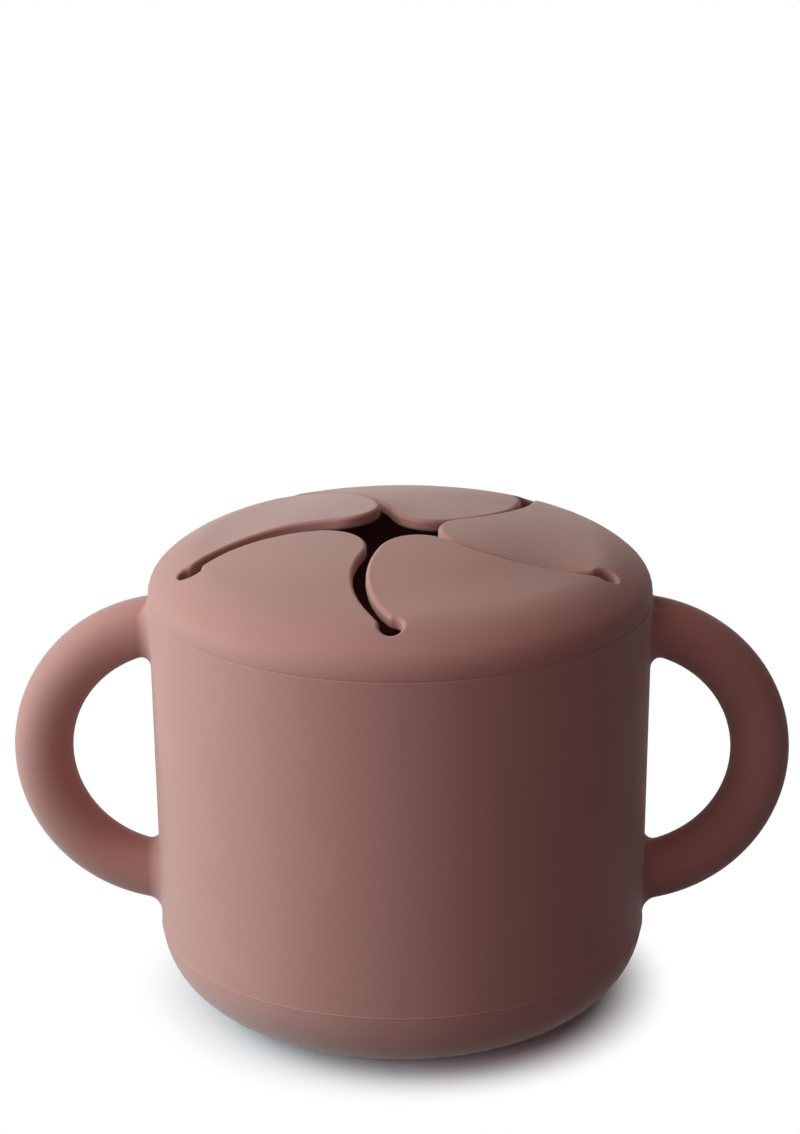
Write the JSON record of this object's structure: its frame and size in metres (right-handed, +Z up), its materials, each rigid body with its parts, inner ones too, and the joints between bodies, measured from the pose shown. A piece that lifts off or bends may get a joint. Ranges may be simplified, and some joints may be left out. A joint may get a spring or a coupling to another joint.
{
  "type": "snack cup",
  "caption": "Round drinking-cup-shaped snack container with a loop handle on each side and a domed press-in lid split into curved soft flaps.",
  "frame": {"origin": "centre of the cup's flat base, on the surface it stands on", "axes": "+Z up; the two loop handles lie along X; -Y is the side towards a viewer with one handle on each side"},
  "size_m": [0.1404, 0.09, 0.09],
  "materials": {
    "cup_silicone": "matte",
    "lid_silicone": "matte"
  },
  "bodies": {
    "cup": {"cup_body": "cup_silicone", "left_handle": "cup_silicone", "right_handle": "cup_silicone"},
    "lid": {"lid_ring": "lid_silicone"},
    "flap_front_left": {"flap_front_left": "lid_silicone"},
    "flap_front_right": {"flap_front_right": "lid_silicone"},
    "flap_right": {"flap_right": "lid_silicone"},
    "flap_back": {"flap_back": "lid_silicone"},
    "flap_left": {"flap_left": "lid_silicone"}
  },
  "joints": [
    {"name": "lid_lift", "type": "slide", "parent": "cup", "child": "lid", "axis": [0, 0, 1], "range_m": [0, 0.05]},
    {"name": "flap_front_left_bend", "type": "hinge", "parent": "lid", "child": "flap_front_left", "pos_m": [-0.01874, -0.02469, 0.08384], "axis": [-0.7965, 0.6046, 0], "range_deg": [-45, 75], "stiffness_Nm_per_rad": 0.015, "springref_deg": -0.83},
    {"name": "flap_front_right_bend", "type": "hinge", "parent": "lid", "child": "flap_front_right", "pos_m": [0.01769, -0.02546, 0.08384], "axis": [-0.8211, -0.5707, 0], "range_deg": [-45, 75], "stiffness_Nm_per_rad": 0.015, "springref_deg": -0.83},
    {"name": "flap_right_bend", "type": "hinge", "parent": "lid", "child": "flap_right", "pos_m": [0.02968, 0.00896, 0.08384], "axis": [0.289, -0.9573, 0], "range_deg": [-45, 75], "stiffness_Nm_per_rad": 0.015, "springref_deg": -0.83},
    {"name": "flap_back_bend", "type": "hinge", "parent": "lid", "child": "flap_back", "pos_m": [0.00065, 0.03099, 0.08384], "axis": [0.9998, -0.0209, 0], "range_deg": [-45, 75], "stiffness_Nm_per_rad": 0.015, "springref_deg": -0.83},
    {"name": "flap_left_bend", "type": "hinge", "parent": "lid", "child": "flap_left", "pos_m": [-0.02928, 0.01019, 0.08384], "axis": [0.3289, 0.9444, 0], "range_deg": [-45, 75], "stiffness_Nm_per_rad": 0.015, "springref_deg": -0.83}
  ]
}
